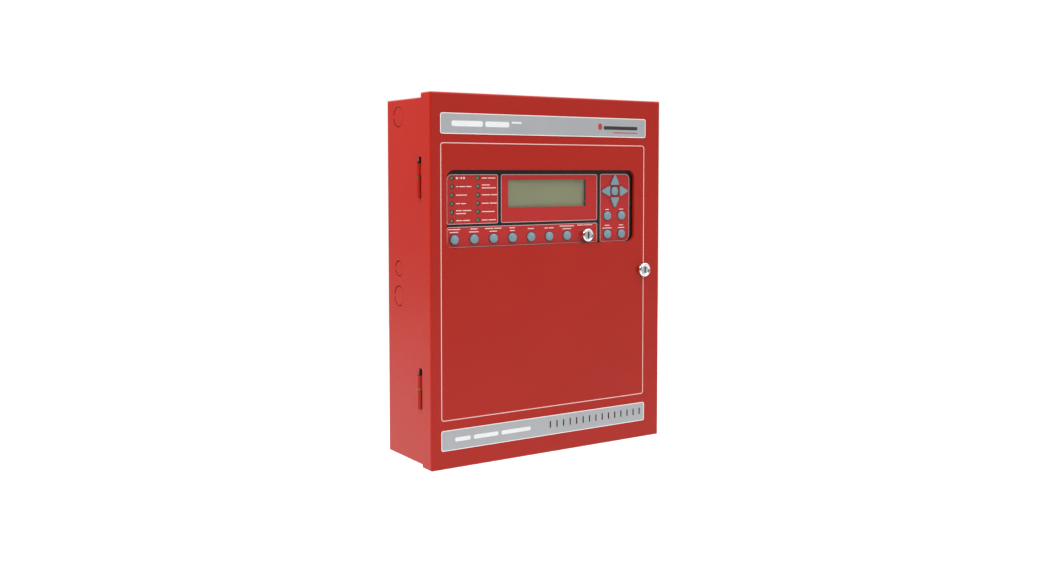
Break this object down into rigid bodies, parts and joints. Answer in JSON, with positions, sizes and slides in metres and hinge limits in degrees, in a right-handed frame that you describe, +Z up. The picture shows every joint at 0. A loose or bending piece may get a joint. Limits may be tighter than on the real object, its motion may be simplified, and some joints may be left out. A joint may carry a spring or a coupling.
{
  "type": "fire alarm control panel",
  "caption": "Wall-mounted fire alarm control panel: steel cabinet with a hinged, lockable door carrying display, lamps, keys and key switch; boards and standby batteries inside.",
  "frame": {"origin": "middle of the cabinet's back face, in the wall plane, at the centre of the four wall fixing holes", "axes": "+X to the right seen from the front, +Y into the wall, +Z up"},
  "size_m": [0.3909, 0.1365, 0.5],
  "materials": {
    "red_enamel": "gloss textured polyester powder coat",
    "zinc_steel": "zinc plated, satin",
    "brass": "turned",
    "screw_steel": "bright zinc",
    "chrome": "polished chromium plate on die-cast zinc",
    "circuit_board": "green solder mask over glass epoxy",
    "terminal_green": "moulded polyamide",
    "relay_blue": "moulded",
    "black_plastic": "moulded",
    "cream_plastic": "moulded polyamide",
    "transformer_tape": "ferrite core with polyester tape",
    "battery_case": "moulded ABS",
    "lead_insulation": "soft PVC",
    "ribbon_grey": "flat PVC ribbon",
    "strip_silver": "satin, printed",
    "panel_film": "printed polyester film",
    "window_clear": "clear acrylic",
    "lcd_olive": "reflective liquid crystal glass",
    "lamp_lens": "tinted epoxy lens",
    "key_blue": "moulded silicone key"
  },
  "bodies": {
    "cabinet": {"back_box": "red_enamel", "cabinet_hinge_leaves": "red_enamel", "hinge_pins": "zinc_steel", "hinge_washers": "brass", "earth_stud": "brass", "chassis_plate": "zinc_steel", "spacers": "brass", "chassis_nuts": "screw_steel", "main_board": "circuit_board", "field_terminals": "terminal_green", "board_relays": "relay_blue", "board_chips": "black_plastic", "main_ribbon_header": "black_plastic", "power_supply_case": "zinc_steel", "power_supply_board": "circuit_board", "transformer": "transformer_tape", "mains_terminal_block": "cream_plastic", "battery_left": "battery_case", "battery_right": "battery_case", "battery_bracket": "zinc_steel", "battery_link_lead": "lead_insulation", "battery_leads": "lead_insulation", "earth_lead": "lead_insulation", "ribbon_cable": "ribbon_grey"},
    "door": {"door_panel": "red_enamel", "door_hinge_leaves": "red_enamel", "title_strip": "strip_silver", "base_strip": "strip_silver", "fascia_plate": "zinc_steel", "fascia_film": "panel_film", "display_window": "window_clear", "lcd_module": "lcd_olive", "display_board": "circuit_board", "display_spacers": "brass", "tactile_switches": "black_plastic", "status_lamps": "lamp_lens", "sounder": "black_plastic", "fascia_nuts": "screw_steel", "door_ribbon_header": "black_plastic", "lock_body": "chrome", "lock_nuts": "zinc_steel", "key_switch_body": "chrome"},
    "lock_core": {"lock_core": "chrome"},
    "key_switch_core": {"key_switch_core": "chrome"},
    "function_key_1": {"function_key_1": "key_blue"},
    "function_key_2": {"function_key_2": "key_blue"},
    "function_key_3": {"function_key_3": "key_blue"},
    "function_key_4": {"function_key_4": "key_blue"},
    "function_key_5": {"function_key_5": "key_blue"},
    "function_key_6": {"function_key_6": "key_blue"},
    "function_key_7": {"function_key_7": "key_blue"},
    "arrow_key_up": {"arrow_key_up": "key_blue"},
    "arrow_key_right": {"arrow_key_right": "key_blue"},
    "arrow_key_down": {"arrow_key_down": "key_blue"},
    "arrow_key_left": {"arrow_key_left": "key_blue"},
    "enter_key": {"enter_key": "key_blue"},
    "menu_key_1": {"menu_key_1": "key_blue"},
    "menu_key_2": {"menu_key_2": "key_blue"},
    "menu_key_3": {"menu_key_3": "key_blue"},
    "menu_key_4": {"menu_key_4": "key_blue"}
  },
  "joints": [
    {"name": "door_hinge", "type": "hinge", "parent": "cabinet", "child": "door", "pos_m": [-0.1925, -0.097, 0], "axis": [0, 0, -1], "range_deg": [0, 110], "deforming": ["ribbon_cable", "earth_lead"]},
    {"name": "door_lock_turn", "type": "hinge", "parent": "door", "child": "lock_core", "pos_m": [0.1628, -0.13, 0.0028], "axis": [0, -1, 0], "range_deg": [0, 90]},
    {"name": "key_switch_turn", "type": "hinge", "parent": "door", "child": "key_switch_core", "pos_m": [0.0592, -0.13, 0.0573], "axis": [0, 1, 0], "range_deg": [0, 90]},
    {"name": "function_key_1_press", "type": "slide", "parent": "door", "child": "function_key_1", "axis": [0, 1, 0], "range_m": [0, 0.0012], "stiffness_N_per_m": 300},
    {"name": "function_key_2_press", "type": "slide", "parent": "door", "child": "function_key_2", "axis": [0, 1, 0], "range_m": [0, 0.0012], "stiffness_N_per_m": 300},
    {"name": "function_key_3_press", "type": "slide", "parent": "door", "child": "function_key_3", "axis": [0, 1, 0], "range_m": [0, 0.0012], "stiffness_N_per_m": 300},
    {"name": "function_key_4_press", "type": "slide", "parent": "door", "child": "function_key_4", "axis": [0, 1, 0], "range_m": [0, 0.0012], "stiffness_N_per_m": 300},
    {"name": "function_key_5_press", "type": "slide", "parent": "door", "child": "function_key_5", "axis": [0, 1, 0], "range_m": [0, 0.0012], "stiffness_N_per_m": 300},
    {"name": "function_key_6_press", "type": "slide", "parent": "door", "child": "function_key_6", "axis": [0, 1, 0], "range_m": [0, 0.0012], "stiffness_N_per_m": 300},
    {"name": "function_key_7_press", "type": "slide", "parent": "door", "child": "function_key_7", "axis": [0, 1, 0], "range_m": [0, 0.0012], "stiffness_N_per_m": 300},
    {"name": "arrow_key_up_press", "type": "slide", "parent": "door", "child": "arrow_key_up", "axis": [0, 1, 0], "range_m": [0, 0.0012], "stiffness_N_per_m": 300},
    {"name": "arrow_key_right_press", "type": "slide", "parent": "door", "child": "arrow_key_right", "axis": [0, 1, 0], "range_m": [0, 0.0012], "stiffness_N_per_m": 300},
    {"name": "arrow_key_down_press", "type": "slide", "parent": "door", "child": "arrow_key_down", "axis": [0, 1, 0], "range_m": [0, 0.0012], "stiffness_N_per_m": 300},
    {"name": "arrow_key_left_press", "type": "slide", "parent": "door", "child": "arrow_key_left", "axis": [0, 1, 0], "range_m": [0, 0.0012], "stiffness_N_per_m": 300},
    {"name": "enter_key_press", "type": "slide", "parent": "door", "child": "enter_key", "axis": [0, 1, 0], "range_m": [0, 0.0012], "stiffness_N_per_m": 300},
    {"name": "menu_key_1_press", "type": "slide", "parent": "door", "child": "menu_key_1", "axis": [0, 1, 0], "range_m": [0, 0.0012], "stiffness_N_per_m": 300},
    {"name": "menu_key_2_press", "type": "slide", "parent": "door", "child": "menu_key_2", "axis": [0, 1, 0], "range_m": [0, 0.0012], "stiffness_N_per_m": 300},
    {"name": "menu_key_3_press", "type": "slide", "parent": "door", "child": "menu_key_3", "axis": [0, 1, 0], "range_m": [0, 0.0012], "stiffness_N_per_m": 300},
    {"name": "menu_key_4_press", "type": "slide", "parent": "door", "child": "menu_key_4", "axis": [0, 1, 0], "range_m": [0, 0.0012], "stiffness_N_per_m": 300}
  ]
}
